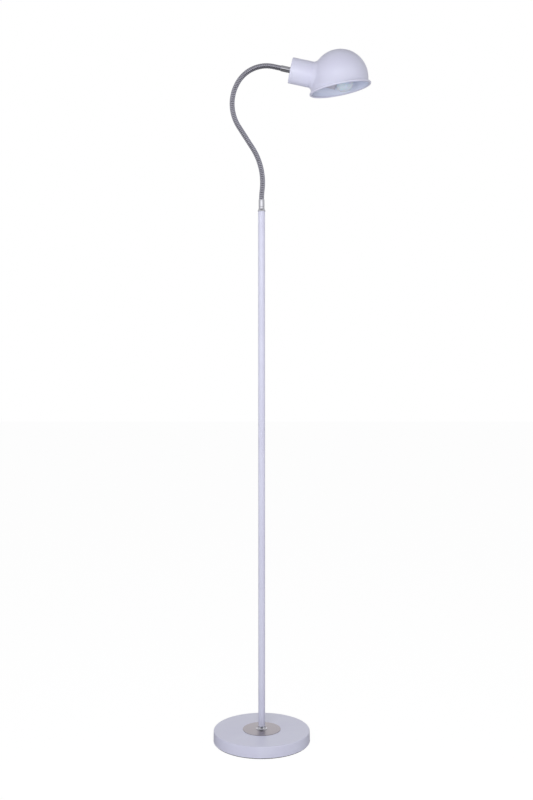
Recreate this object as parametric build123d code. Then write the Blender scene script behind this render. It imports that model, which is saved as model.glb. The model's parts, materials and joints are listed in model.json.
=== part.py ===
from build123d import *
import os
from math import asin, cos, degrees, radians, sin, sqrt

# Gooseneck reading floor lamp, in millimetres.
# The origin is the centre of the base's underside, on the floor. +Z is up, +X points
# from the pole towards the lamp head, and the gooseneck lies in the XZ plane.

# ---------------------------------------------------------------- driving dimensions
# Base
BASE_R = 115.0              # outer radius of the painted cover at its foot
BASE_TOP_Z = 28.6           # height of the cover's flat top
BASE_DRAFT = 0.6            # the side wall leans in by this much at the top
BASE_EDGE_R = 3.0           # rounding of the top edge
COVER_WALL = 1.0            # pressed sheet steel
PAD_T = 2.0                 # felt pad under the base
PAD_R = 113.0
PLATE_T = 1.0               # steel bottom plate
PLATE_R = 113.4
BALLAST_R = 112.6
BALLAST_T = 14.0            # cast iron disc, clamped under the cover's top
INLET_Z = 8.4               # cord inlet, at the back of the base
INLET_HOLE_R = 4.1
GROMMET_BORE_R = 3.1
GROMMET_FLANGE_R = 5.0
BOSS_R = 7.0                # three legs of the ballast that carry the bottom plate
BOSS_CIRCLE_R = 88.0
SCREW_R = 2.0
SCREW_HEAD_R = 3.8
SCREW_L = 8.0
SLOT_W = 0.9                # screwdriver slots
EARTH_X = 24.0              # earth tag and its screw, under the ballast
EARTH_Y = 14.0
EARTH_TAG_T = 0.8
EARTH_HEAD_R = 3.6
EARTH_HEAD_L = 2.4

# Centre stack
TRIM_R = 45.0               # brushed disc on top of the cover
TRIM_T = 1.0
THREAD_R = 4.85             # outside of the M10 threaded tubes, drawn plain
THREAD_BORE_R = 3.5         # way through for the lead
HOLE_R = 5.2                # clearance hole for an M10 tube
NUT_POCKET_R = 18.0         # pocket in the ballast for the washer and nut
NUT_POCKET_L = 4.0
NUT_FLATS = 17.0
NUT_L = 5.5
WASHER_R = 14.0
WASHER_T = 1.5
COLLAR_R = 13.0             # chrome collar at the pole's foot
COLLAR_H = 7.8
COLLAR_FOOT = 1.4
COLLAR_LIP = 0.9            # how far its top lip stands off the pole

# Pole
POLE_R = 8.0
POLE_WALL = 1.0
SEAM_Z = [369.0, 698.0, 970.0]      # the three seams between the four sections
POLE_TOP_Z = 1253.4
FIT = 0.05                  # radial clearance of pushed-in and screwed pieces
SOCKET_L = 20.0             # threaded bush inside the lower end of a section
STUD_L = 16.0               # threaded end that stands out of a joiner
STUD_ROOT_L = 22.0          # the part of a joiner inside the upper end of a section
SEAM_CHAMFER = 0.35
CAP_H = 5.8                 # chrome cone on top of the pole
CAP_R = 9.0

# Gooseneck: straight and curved runs from the pole cap to the cup, each with its
# length and its turn in degrees, positive towards +X
NECK_RUNS = [(22.0, 0.0), (21.0, 7.0), (101.0, -40.0), (57.6, 0.0),
             (107.0, 64.5), (94.0, 70.5), (17.4, 0.0), (22.0, 0.0)]
FERRULE_L = 22.0            # first and last run, inside the chrome ferrules
FERRULE_R = 7.0             # at the pole and at the cup
FERRULE_NOSE_R = 6.9        # at the hose
POLE_THREAD_L = 18.0        # thread of the lower ferrule, in the pole's top bush
HEAD_THREAD_L = 36.0        # thread of the upper ferrule, through the cup into the lampholder
HOSE_RIB_R = 6.0
HOSE_VALLEY_R = 5.2
HOSE_END_R = 4.6
HOSE_BORE_R = 3.8
HOSE_IN_FERRULE = 12.0      # length of hose held inside each ferrule
LINKS = 12                  # short lengths that the hose bends between
RIBS_PER_LINK = 8
HINGE_GAP = 1.3             # space between two lengths at their hinge

# Lamp head, measured along the cup's axis from its end face
CUP_R = 29.35
CUP_WALL = 0.8
CUP_EDGE_R = 2.5
CUP_L = 49.0
CUP_WASHER_R = 11.0
CUP_WASHER_T = 1.2
CUP_NUT_FLATS = 14.0
CUP_NUT_L = 4.0
RIM_ALONG = 121.3           # the rim's centre lies this far along the cup's axis
RIM_BELOW = 17.1            # and this far below it
RIM_TO_CUP_DEG = 22.6       # angle between the rim plane and the cup's axis

# Shade, measured from the centre of its rim
SHADE_WALL = 0.8
BEAD_R = 2.5                # section of the rolled bead
BEAD_CIRCLE_R = 69.6
DOME_R = 65.0
DOME_H = 23.3               # the dome's centre stands this far above the rim's centre
DOME_SHIFT = 3.8            # and this far off it, so the shade's own axis leans
SKIRT_R = 68.1              # the skirt is square to that axis, and the rim cuts it on a slant
FLARE_L = 21.0              # length over which the dome's foot widens, down to the bead
SHADE_FILLET = 7.0          # hollow blend between the cup's stub and the dome

# Lampholder for an E27 bulb, measured along the cup's axis
HOLDER_R = 21.0
HOLDER_WALL = 2.2
HOLDER_MOUTH = 110.0        # the skirt is long, and covers the bulb's neck
HOLDER_CAP_BACK = 29.5
HOLDER_CAP_L = 14.0
HOLDER_CAP_FLOOR = 6.0      # thick floor of the cap, which takes the M10 thread
HOLDER_SHOULDER = 1.4       # inside step of the skirt that the carrier rests on
INSERT_BACK = 53.5
INSERT_L = 12.0
SHELL_R = 13.9              # screw shell of the holder
SHELL_WALL = 0.5
SHELL_L = 30.0
LIP_L = 3.0                 # inner lip of the skirt, just past the screw shell
TERMINAL_Y = 10.5           # terminal screws on the back of the carrier
TERMINAL_R = 2.8
TERMINAL_HEAD = 2.2
WIRE_WAY_X = 9.0            # two recesses in the carrier's back for the wires
CONTACT_T = 0.8
CONTACT_W = 5.0

# Bulb: small globe, 45 mm across and 78 mm long
BULB_R = 22.5
BULB_L = 78.0
BULB_TIP = 70.5             # where the bulb's contact meets the holder's
GLASS_T = 0.9
BULB_CAP_R = 13.2
BULB_CAP_L = 22.0
BULB_CAP_BACK = 4.0         # from the tip of the contact to the cap's shell
BULB_TIP_T = 1.2
GLASS_NECK_R = 12.6
GLASS_MEET_DEG = 40.0       # the globe runs into its neck this far from the axis

LEAD_R = 2.6                # two-core lead inside the pole

# ---------------------------------------------------------------- helpers

os.makedirs("parts", exist_ok=True)


def save(node, *solids):
    """Write one node: a single solid, or a group of separate ones."""
    found = [s for shape in solids for s in shape.solids()]
    shape = found[0] if len(found) == 1 else Compound(found)
    shape.label = node
    export_step(shape, f"parts/{node}.step")


def turned(points):
    """Solid of revolution about Z from a closed outline of (radius, height) points."""
    outline = make_face(Plane.XZ * Polyline(*points, close=True))
    return revolve(outline, axis=Axis.Z)


def spun(*edges):
    """Solid of revolution about Z from the edges of a closed (radius, height) outline."""
    return revolve(Plane.XZ * make_face(list(edges)), axis=Axis.Z)


def ring(outer, inner, low, high):
    """Tube between two heights."""
    return turned([(inner, low), (outer, low), (outer, high), (inner, high)])


def rod(radius, low, high):
    """Plain cylinder between two heights."""
    return Pos(0, 0, low) * Cylinder(radius, high - low, align=(Align.CENTER, Align.CENTER, Align.MIN))


def hex_nut(flats, bore, low, high):
    """Hexagonal nut on the Z axis."""
    blank = extrude(RegularPolygon(flats / sqrt(3), 6), high - low)
    return Pos(0, 0, low) * blank - rod(bore, low - 1, high + 1)


# ---------------------------------------------------------------- the neck's path

NECK_START_Z = POLE_TOP_Z + CAP_H
NECK_L = sum(length for length, turn in NECK_RUNS)


def neck_point(s):
    """Place (x, z) and heading in degrees at distance s along the neck."""
    x, z, heading = 0.0, NECK_START_Z, 90.0
    for length, turn in NECK_RUNS:
        part = min(length, s)
        step = turn * part / length
        half = radians(step / 2)
        chord = part * (sin(half) / half if half else 1.0)
        x += chord * cos(radians(heading) - half)
        z += chord * sin(radians(heading) - half)
        heading -= step
        s -= part
        if s <= 0:
            break
    return x, z, heading


def neck_plane(s):
    """Plane square to the neck at distance s, with its X axis kept along +Y."""
    x, z, heading = neck_point(s)
    return Plane(origin=(x, 0, z), x_dir=(0, 1, 0),
                 z_dir=(cos(radians(heading)), 0, sin(radians(heading))))


CUP_PLANE = neck_plane(NECK_L)
AXIS = CUP_PLANE.z_dir
UP = CUP_PLANE.y_dir
RIM_CENTRE = CUP_PLANE.origin + AXIS * RIM_ALONG - UP * RIM_BELOW
RIM_TILT = neck_point(NECK_L)[2] + RIM_TO_CUP_DEG
RIM_PLANE = Plane(origin=RIM_CENTRE, x_dir=(cos(radians(RIM_TILT)), 0, sin(radians(RIM_TILT))),
                  z_dir=(-sin(radians(RIM_TILT)), 0, cos(radians(RIM_TILT))))


# ---------------------------------------------------------------- base

def make_base_cover():
    """Pressed steel shell with a rounded top edge, a centre hole and a cord inlet at the back."""
    top_r = BASE_R - BASE_DRAFT

    def dish(inset, low):
        side = Polyline((0, low), (BASE_R - inset, low), (top_r - inset, BASE_TOP_Z - inset),
                        (0, BASE_TOP_Z - inset), close=True)
        corner = make_face(Plane.XZ * side)
        edge = corner.vertices().sort_by(lambda v: v.X + v.Z)[-1]
        return revolve(fillet(edge, BASE_EDGE_R - inset), axis=Axis.Z)

    cover = dish(0, PAD_T) - dish(COVER_WALL, PAD_T - 1)
    inlet = Plane(origin=(0, BASE_R - 10, INLET_Z), z_dir=(0, 1, 0)) * rod(INLET_HOLE_R, 0, 20)
    return cover - rod(HOLE_R, 0, BASE_TOP_Z + 1) - inlet


def make_grommet():
    """Rubber grommet: a groove grips the cover's wall, and the bore takes a 6 mm cord."""
    groove = INLET_HOLE_R - FIT
    inner_face = BASE_R - COVER_WALL - 0.35
    outline = [(GROMMET_BORE_R, inner_face - 1.6), (GROMMET_FLANGE_R, inner_face - 1.6),
               (GROMMET_FLANGE_R, inner_face), (groove, inner_face), (groove, BASE_R),
               (GROMMET_FLANGE_R, BASE_R), (GROMMET_FLANGE_R - 0.6, BASE_R + 1.6),
               (GROMMET_BORE_R + 0.9, BASE_R + 4.0), (GROMMET_BORE_R, BASE_R + 4.0)]
    return Plane(origin=(0, 0, INLET_Z), z_dir=(0, 1, 0)) * turned(outline)


BALLAST_TOP = BASE_TOP_Z - COVER_WALL
BALLAST_LOW = BALLAST_TOP - BALLAST_T
PLATE_TOP = PAD_T + PLATE_T
NUT_FACE_Z = BALLAST_LOW + NUT_POCKET_L


def boss_spots():
    """Centres of the three legs, one of them towards -Y."""
    return [(BOSS_CIRCLE_R * cos(a), BOSS_CIRCLE_R * sin(a))
            for a in (radians(-90 + 120 * k) for k in range(3))]


def make_ballast():
    """Cast iron disc with a pocket for the nut and three legs down to the bottom plate."""
    bevel = BASE_EDGE_R
    disc = turned([(0, BALLAST_LOW), (BALLAST_R, BALLAST_LOW), (BALLAST_R, BALLAST_TOP - bevel),
                   (BALLAST_R - bevel, BALLAST_TOP), (0, BALLAST_TOP)])
    for x, y in boss_spots():
        disc += Pos(x, y, 0) * rod(BOSS_R, PLATE_TOP, BALLAST_LOW + 1)
    for x, y in boss_spots():
        disc -= Pos(x, y, 0) * rod(SCREW_R + FIT, PLATE_TOP - 1, PLATE_TOP + SCREW_L + 0.2)
    return disc - rod(HOLE_R, 0, BASE_TOP_Z) - rod(NUT_POCKET_R, 0, NUT_FACE_Z)


def make_bottom_plate():
    """Steel disc with three countersunk screw holes."""
    plate = rod(PLATE_R, PAD_T, PLATE_TOP)
    sink = turned([(0, PAD_T), (SCREW_HEAD_R + FIT, PAD_T), (SCREW_R + 0.6, PLATE_TOP), (0, PLATE_TOP)])
    for x, y in boss_spots():
        plate -= Pos(x, y, 0) * sink
    return plate


def make_plate_screws():
    """Three countersunk screws, flush with the plate's underside."""
    tip = PLATE_TOP + SCREW_L
    screw = turned([(0, PAD_T), (SCREW_HEAD_R, PAD_T), (SCREW_R, PLATE_TOP - 0.1), (SCREW_R, tip), (0, tip)])
    screw -= Pos(0, 0, PAD_T) * Box(1.3 * SCREW_HEAD_R, SLOT_W, PLATE_T)
    return [Pos(x, y, 0) * screw for x, y in boss_spots()]


TRIM_TOP = BASE_TOP_Z + TRIM_T
NUT_TOP = NUT_FACE_Z - WASHER_T
TUBE_LOW = NUT_TOP - NUT_L - 2.0
TUBE_TOP = TRIM_TOP + SOCKET_L + 4.0


def make_trim_plate():
    """Thin brushed disc with a bevelled edge."""
    return turned([(HOLE_R, BASE_TOP_Z), (TRIM_R, BASE_TOP_Z), (TRIM_R, TRIM_TOP - 0.4),
                   (TRIM_R - 0.4, TRIM_TOP), (HOLE_R, TRIM_TOP)])


def make_collar():
    """Chrome collar: a small foot, then a hollow curve up to the pole."""
    inner = POLE_R + FIT
    lip_r = POLE_R + COLLAR_LIP
    top = TRIM_TOP + COLLAR_H
    foot = (COLLAR_R, TRIM_TOP + COLLAR_FOOT - 0.5)
    curve_low = (COLLAR_R - 0.6, TRIM_TOP + COLLAR_FOOT)
    curve_high = (lip_r, top - 1.2)
    curve = RadiusArc(curve_low, curve_high, -COLLAR_R * 0.7)
    rest = Polyline(curve_high, (lip_r - 0.3, top), (inner, top), (inner, TRIM_TOP), (COLLAR_R, TRIM_TOP),
                    foot, curve_low)
    return spun(curve, *rest.edges())


def make_base():
    save("base_cover", make_base_cover())
    save("cord_grommet", make_grommet())
    save("ballast_disc", make_ballast())
    save("bottom_plate", make_bottom_plate())
    save("bottom_plate_screws", *make_plate_screws())
    save("floor_pad", turned([(0, 0), (PAD_R, 0), (PAD_R, PAD_T), (0, PAD_T)]))
    save("trim_plate", make_trim_plate())
    save("pole_collar", make_collar())
    save("base_tube", ring(THREAD_R, THREAD_BORE_R, TUBE_LOW, TUBE_TOP))
    save("base_washer", ring(WASHER_R, HOLE_R, NUT_TOP, NUT_FACE_Z))
    save("base_nut", hex_nut(NUT_FLATS, THREAD_R + FIT, NUT_TOP - NUT_L, NUT_TOP))
    tag_low = BALLAST_LOW - EARTH_TAG_T
    spot = Pos(EARTH_X, EARTH_Y, 0)
    blade = Pos(9, 0, tag_low) * Box(10, 4, EARTH_TAG_T, align=(Align.CENTER, Align.CENTER, Align.MIN))
    save("earth_tag", spot * (ring(5.0, SCREW_R + 0.1, tag_low, BALLAST_LOW) + blade))
    head_low = tag_low - EARTH_HEAD_L
    cross = Box(5, SLOT_W, 2.0) + Box(SLOT_W, 5, 2.0)
    save("earth_screw", spot * (rod(EARTH_HEAD_R, head_low, tag_low) - Pos(0, 0, head_low) * cross))


# ---------------------------------------------------------------- pole

def make_pole():
    """Four painted tubes, joined by stepped studs that screw into bushes."""
    inside = POLE_R - POLE_WALL
    plug_r = inside - FIT
    edge = SEAM_CHAMFER
    lows = [TRIM_TOP] + SEAM_Z
    highs = SEAM_Z + [POLE_TOP_Z]
    names = ["lower", "lower_middle", "upper_middle", "upper"]
    for name, low, high in zip(names, lows, highs):
        tube = turned([(inside, low), (POLE_R - edge, low), (POLE_R, low + edge), (POLE_R, high - edge),
                       (POLE_R - edge, high), (inside, high)])
        save(f"pole_{name}", tube)
        bush_low = low + (0 if name == "lower" else edge)
        save(f"pole_bush_{name}", ring(plug_r, THREAD_R + FIT, bush_low, bush_low + SOCKET_L))
    for name, seam in zip(["lower", "middle", "upper"], SEAM_Z):
        root = seam - STUD_ROOT_L
        step = seam - 0.2
        tip = seam + STUD_L
        stud = turned([(THREAD_BORE_R, root), (plug_r, root), (plug_r, step), (THREAD_R, step),
                       (THREAD_R, tip), (THREAD_BORE_R, tip)])
        save(f"pole_stud_{name}", stud)
    save("pole_top_bush", ring(plug_r, THREAD_R + FIT, POLE_TOP_Z - STUD_ROOT_L, POLE_TOP_Z - 0.2))
    cap = turned([(HOLE_R, POLE_TOP_Z), (CAP_R, POLE_TOP_Z), (CAP_R, POLE_TOP_Z + 1.0),
                  (FERRULE_R + 0.2, NECK_START_Z), (HOLE_R, NECK_START_Z)])
    save("pole_cap", cap)
    save("pole_lead", rod(LEAD_R, TUBE_LOW - 2.0, NECK_START_Z - 2.0))


# ---------------------------------------------------------------- gooseneck

def make_ferrule(thread_l):
    """Chrome ferrule: an M10 thread, a groove near the foot and a socket for the hose at the nose."""
    groove_r = FERRULE_R - 0.5
    socket_r = HOSE_RIB_R + FIT
    socket = FERRULE_L - HOSE_IN_FERRULE
    return turned([(THREAD_BORE_R, -thread_l), (THREAD_R, -thread_l), (THREAD_R, 0), (FERRULE_R - 0.3, 0),
                   (FERRULE_R, 0.3), (FERRULE_R, 3.6), (groove_r, 4.0), (groove_r, 5.0), (FERRULE_R, 5.4),
                   (FERRULE_NOSE_R, FERRULE_L - 1.4), (HOSE_RIB_R + 0.4, FERRULE_L),
                   (socket_r, FERRULE_L), (socket_r, socket), (THREAD_BORE_R, socket)])


def link_ends():
    """Distances along the neck of the hinges, and of the hose's two ends."""
    link = (NECK_L - 2 * FERRULE_L) / LINKS
    hinges = [FERRULE_L + link * k for k in range(1, LINKS)]
    return [FERRULE_L - HOSE_IN_FERRULE] + hinges + [NECK_L - FERRULE_L + HOSE_IN_FERRULE]


def make_link(number):
    """One ribbed length of hose with its bore. Each rib is a ruled loft through four circles."""
    link = (NECK_L - 2 * FERRULE_L) / LINKS
    pitch = link / RIBS_PER_LINK
    first = FERRULE_L + link * number
    ends = link_ends()
    low = ends[number] + (HINGE_GAP / 2 if number else 0)
    high = ends[number + 1] - (HINGE_GAP / 2 if number < LINKS - 1 else 0)
    stations = [(low, HOSE_END_R if number else HOSE_RIB_R)]
    if number == 0:
        stations.append((first, HOSE_RIB_R))
    for rib in range(RIBS_PER_LINK):
        middle = first + pitch * (rib + 0.5)
        stations += [(middle - 0.30 * pitch, HOSE_VALLEY_R), (middle - 0.17 * pitch, HOSE_RIB_R),
                     (middle + 0.17 * pitch, HOSE_RIB_R), (middle + 0.30 * pitch, HOSE_VALLEY_R)]
    if number == LINKS - 1:
        stations.append((first + link, HOSE_RIB_R))
    stations.append((high, HOSE_END_R if number < LINKS - 1 else HOSE_RIB_R))
    outside = loft([neck_plane(s) * Circle(r) for s, r in stations], ruled=True)
    steps = 8
    marks = [low + (high - low) * k / steps for k in range(steps + 1)]
    bore = loft([neck_plane(s) * Circle(HOSE_BORE_R) for s in marks], ruled=True)
    return outside - bore


def make_neck():
    save("neck_ferrule_lower", neck_plane(0) * make_ferrule(POLE_THREAD_L))
    for number in range(LINKS):
        save(f"neck_hose_{number + 1:02d}", make_link(number))
    x, z, heading = neck_point(NECK_L)
    back = Plane(origin=(x, 0, z), x_dir=(0, 1, 0),
                 z_dir=(-cos(radians(heading)), 0, -sin(radians(heading))))
    save("neck_ferrule_upper", back * make_ferrule(HEAD_THREAD_L))
    for k, s in enumerate(link_ends()[1:-1], 1):
        x, z, heading = neck_point(s)
        print(f"hinge {k}: x {x:.3f} z {z:.3f} heading {heading:.3f}")
    print(f"neck length {NECK_L:.1f}, cup end x {CUP_PLANE.origin.X:.2f} z {CUP_PLANE.origin.Z:.2f}")
    print(f"rim centre x {RIM_CENTRE.X:.2f} z {RIM_CENTRE.Z:.2f}, tilt {RIM_TILT:.1f}")


# ---------------------------------------------------------------- lamp head

def make_cup():
    """Drawn cup: a closed end with a rounded edge and an M10 hole."""
    def blank(inset, high):
        side = make_face(Plane.XZ * Polyline((0, inset), (CUP_R - inset, inset), (CUP_R - inset, high),
                                             (0, high), close=True))
        edge = side.vertices().sort_by(lambda v: v.X - v.Z)[-1]
        return revolve(fillet(edge, CUP_EDGE_R - inset), axis=Axis.Z)
    return CUP_PLANE * (blank(0, CUP_L) - blank(CUP_WALL, CUP_L + 1) - rod(HOLE_R, -1, 3))


def shade_body(inset, low):
    """Dome, flare and skirt as one solid of revolution about the leaning axis, cut off level at
    height low above the rim's centre. The flare is one hollow arc, upright at the dome."""
    dome_r = DOME_R - inset
    skirt_r = SKIRT_R - inset
    step = skirt_r - dome_r
    flare_r = (FLARE_L ** 2 + step ** 2) / (2 * step)
    sweep = degrees(asin(FLARE_L / flare_r))
    foot = -2 * DOME_H
    profile = spun(CenterArc((0, 0), dome_r, 0, 90),
                   CenterArc((dome_r + flare_r, 0), flare_r, 180, sweep),
                   Line((skirt_r, -FLARE_L), (skirt_r, foot)),
                   Line((skirt_r, foot), (0, foot)),
                   Line((0, foot), (0, dome_r)))
    leaning = Plane(origin=(DOME_SHIFT, 0, DOME_H), x_dir=(DOME_H, 0, -DOME_SHIFT),
                    z_dir=(DOME_SHIFT, 0, DOME_H))
    below = Pos(0, 0, low) * Box(300, 300, 200, align=(Align.CENTER, Align.CENTER, Align.MAX))
    return leaning * profile - below


def make_shade():
    """Shade: skirt, dome and a short stub that meets the cup, with a rolled bead at the rim."""
    to_rim = RIM_PLANE.location.inverse() * CUP_PLANE.location
    body = shade_body(0, 0.0)
    stub = to_rim * rod(CUP_R, CUP_L, RIM_ALONG - 30)
    outside = body + stub
    outside = fillet(new_edges(body, stub, combined=outside), SHADE_FILLET)
    hollow = to_rim * rod(CUP_R - SHADE_WALL, CUP_L - 1, RIM_ALONG - 34)
    shell = outside - shade_body(SHADE_WALL, -1.0) - hollow
    return RIM_PLANE * (shell + Torus(BEAD_CIRCLE_R, BEAD_R))


def make_holder():
    """E27 lampholder: cap, skirt, contact carrier, screw shell, contacts and terminal screws."""
    back = HOLDER_CAP_BACK
    front = back + HOLDER_CAP_L
    floor = back + HOLDER_CAP_FLOOR
    bore = THREAD_R + FIT
    inner = HOLDER_R - HOLDER_WALL
    cap = turned([(bore, back), (10.0, back), (HOLDER_R - 4, back + 4), (HOLDER_R, front - 4),
                  (HOLDER_R, front), (inner, front), (inner, front - 3.5), (12.0, floor), (bore, floor)])
    save("holder_cap", CUP_PLANE * cap)
    top = INSERT_BACK + INSERT_L
    mouth = HOLDER_MOUTH
    step_r = inner - HOLDER_SHOULDER
    lip_r = SHELL_R + 0.3
    lip = top + SHELL_L + 1
    skirt = turned([(inner, front), (HOLDER_R, front), (HOLDER_R, mouth - 1.5), (HOLDER_R - 1.5, mouth),
                    (inner, mouth), (inner, lip + LIP_L), (lip_r, lip + LIP_L), (lip_r, lip),
                    (step_r, lip - 2), (step_r, top), (inner, top)])
    save("holder_skirt", CUP_PLANE * skirt)
    carrier = rod(inner - FIT, INSERT_BACK, top)
    for side in (-1, 1):
        carrier -= Pos(side * WIRE_WAY_X, 0, INSERT_BACK) * Box(6, 7, 10)
    save("contact_carrier", CUP_PLANE * carrier)
    shell = ring(SHELL_R, SHELL_R - SHELL_WALL, top, top + SHELL_L)
    save("screw_shell", CUP_PLANE * (shell + ring(SHELL_R, 9.0, top, top + 0.6)))
    save("centre_contact", CUP_PLANE * make_contact(top))
    head_low = INSERT_BACK - TERMINAL_HEAD
    screw = rod(TERMINAL_R, head_low, INSERT_BACK) - Pos(0, 0, head_low) * Box(6, SLOT_W, 1.4)
    save("terminal_screws", *[CUP_PLANE * (Pos(0, side * TERMINAL_Y, 0) * screw) for side in (-1, 1)])
    nut_low = CUP_WALL + CUP_WASHER_T
    save("cup_washer", CUP_PLANE * ring(CUP_WASHER_R, HOLE_R, CUP_WALL, nut_low))
    save("cup_nut", CUP_PLANE * hex_nut(CUP_NUT_FLATS, THREAD_R + FIT, nut_low, nut_low + CUP_NUT_L))
    save("head_lead", CUP_PLANE * rod(LEAD_R, 2.0, INSERT_BACK - 0.5))


def make_contact(seat):
    """Springy centre contact: a strip bent up and back over itself, to just under the bulb's tip."""
    crest = BULB_TIP - CONTACT_T / 2 - 0.3
    foot = Pos(0, 0, seat + CONTACT_T / 2) * Box(13, CONTACT_W, CONTACT_T)
    rise = Pos(-5, 0, (seat + crest) / 2) * Box(1.2, CONTACT_W, crest - seat)
    tongue = Pos(-1.1, 0, crest) * Box(9, CONTACT_W, CONTACT_T)
    return foot + rise + tongue


def make_bulb():
    """Small globe bulb: frosted glass on a screw cap with an insulated tip contact."""
    tip_back = BULB_TIP + BULB_TIP_T
    cap_low = BULB_TIP + BULB_CAP_BACK
    cap_high = cap_low + BULB_CAP_L
    save("bulb_cap", CUP_PLANE * ring(BULB_CAP_R, BULB_CAP_R - 0.4, cap_low, cap_high))
    plug_r = BULB_CAP_R - 0.5
    plug_top = cap_low + 2.5
    plug = turned([(0, tip_back), (6.0, tip_back), (plug_r, cap_low), (plug_r, plug_top), (0, plug_top)])
    save("bulb_insulator", CUP_PLANE * plug)
    save("bulb_tip", CUP_PLANE * turned([(0, BULB_TIP), (3.6, BULB_TIP), (4.6, tip_back), (0, tip_back)]))
    outer = globe_solid(0.0, cap_high)
    save("bulb_globe", CUP_PLANE * (outer - globe_solid(GLASS_T, cap_high)))


def globe_solid(inset, cap_high):
    """Globe and neck as one solid of revolution, drawn in by the glass thickness."""
    centre = BULB_TIP + BULB_L - BULB_R
    radius = BULB_R - inset
    neck_r = GLASS_NECK_R - inset
    foot = cap_high - 3.0 - inset
    meet = radians(GLASS_MEET_DEG)
    join = centre - radius * cos(meet)
    join_r = radius * sin(meet)
    arc = CenterArc((0, centre), radius, 90, GLASS_MEET_DEG - 180)
    flare = Bezier((join_r, join), (join_r - 2.2, join - 2.6), (neck_r, cap_high + 2.5), (neck_r, cap_high))
    return spun(arc, flare, Line((neck_r, cap_high), (neck_r, foot)), Line((neck_r, foot), (0, foot)),
                Line((0, foot), (0, centre + radius)))


def make_head():
    save("shade_cup", make_cup())
    save("shade", make_shade())
    make_holder()
    make_bulb()


make_base()
make_pole()
make_neck()
make_head()
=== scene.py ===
import bmesh
import bpy
import json
import numpy as np
from math import atan2, cos, degrees, hypot, pi, radians, sin
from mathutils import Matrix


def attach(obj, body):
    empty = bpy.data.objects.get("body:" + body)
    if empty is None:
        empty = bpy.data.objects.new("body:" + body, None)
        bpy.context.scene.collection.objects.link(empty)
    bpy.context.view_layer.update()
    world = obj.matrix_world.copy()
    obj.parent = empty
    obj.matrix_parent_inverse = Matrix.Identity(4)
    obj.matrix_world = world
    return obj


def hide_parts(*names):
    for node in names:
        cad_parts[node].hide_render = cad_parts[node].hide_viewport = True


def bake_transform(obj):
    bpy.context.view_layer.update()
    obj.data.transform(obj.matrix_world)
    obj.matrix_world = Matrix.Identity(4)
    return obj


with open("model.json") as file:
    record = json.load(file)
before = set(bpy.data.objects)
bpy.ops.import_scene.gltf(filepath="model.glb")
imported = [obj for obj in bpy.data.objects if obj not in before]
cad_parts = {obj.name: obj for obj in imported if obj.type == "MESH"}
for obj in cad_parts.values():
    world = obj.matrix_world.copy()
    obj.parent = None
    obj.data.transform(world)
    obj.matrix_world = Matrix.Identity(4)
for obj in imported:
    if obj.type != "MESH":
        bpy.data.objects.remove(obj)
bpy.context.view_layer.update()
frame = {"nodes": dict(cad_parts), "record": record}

# Gooseneck reading floor lamp. Sizes are in millimetres up to the point where a mesh is
# made. The origin is the centre of the base's underside, +Z is up, and the gooseneck lies
# in the XZ plane with the lamp head towards +X.

MM = 0.001

# ---------------------------------------------------------------- camera

CAMERA_X = 11.4             # a little to the right of the pole
CAMERA_DISTANCE = 2596.0
CAMERA_Z = 986.0
CAMERA_TIP_DEG = 3.75       # tipped down
CAMERA_REACH = 50000.0
LENS_MM = 50.0
FRAME_MM = 36.0             # long side of the frame behind the lens


def make_camera():
    """The photograph's camera: upright frame, in front of the pole and tipped down a little."""
    camera = bpy.data.cameras.new("camera")
    camera.lens = LENS_MM
    camera.sensor_width = FRAME_MM
    camera.clip_end = CAMERA_REACH * MM
    held = bpy.data.objects.new("camera", camera)
    held.location = (CAMERA_X * MM, -CAMERA_DISTANCE * MM, CAMERA_Z * MM)
    held.rotation_euler = (radians(90 - CAMERA_TIP_DEG), 0, 0)
    bpy.context.scene.collection.objects.link(held)
    bpy.context.scene.camera = held


make_camera()

# ---------------------------------------------------------------- sizes of the lamp

# Base, and the inlet for the cord at its back
BASE_R = 115.0
BASE_TOP = 28.6
BASE_DRAFT = 0.6            # the side wall leans in by this much at the top
BASE_EDGE = 3.0             # rounding of the top edge
COVER_WALL = 1.0
CUT_EDGE = 0.4              # rounding of a cut edge
PAD_T = 2.0
INLET_Z = 8.4
INLET_HOLE_R = 4.1
GROMMET_BORE_R = 3.1
GROMMET_FLANGE_R = 5.0
GROMMET_FLANGE_T = 1.6
GROMMET_GAP = 0.35          # between the cover's inside and the inner flange
GROMMET_NOSE_L = 4.0

# Trim plate, and the collar at the pole's foot
TRIM_R = 45.0
TRIM_T = 1.0
TRIM_TOP = BASE_TOP + TRIM_T
HOLE_R = 5.2
COLLAR_R = 13.0
COLLAR_H = 7.8
COLLAR_FOOT = 1.4
COLLAR_LIP = 0.9            # how far the top lip stands off the pole
COLLAR_LIP_H = 1.2
COLLAR_STEP = 0.6           # from the foot in to the hollow curve

# Pole
POLE_R = 8.0
POLE_WALL = 1.0
SEAM_Z = [369.0, 698.0, 970.0]
POLE_TOP = 1253.4
SEAM_CHAMFER = 0.35
CAP_H = 5.8
CAP_R = 9.0
CAP_RIM_H = 1.2
FIT = 0.05                  # radial clearance of pushed-in pieces

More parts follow.
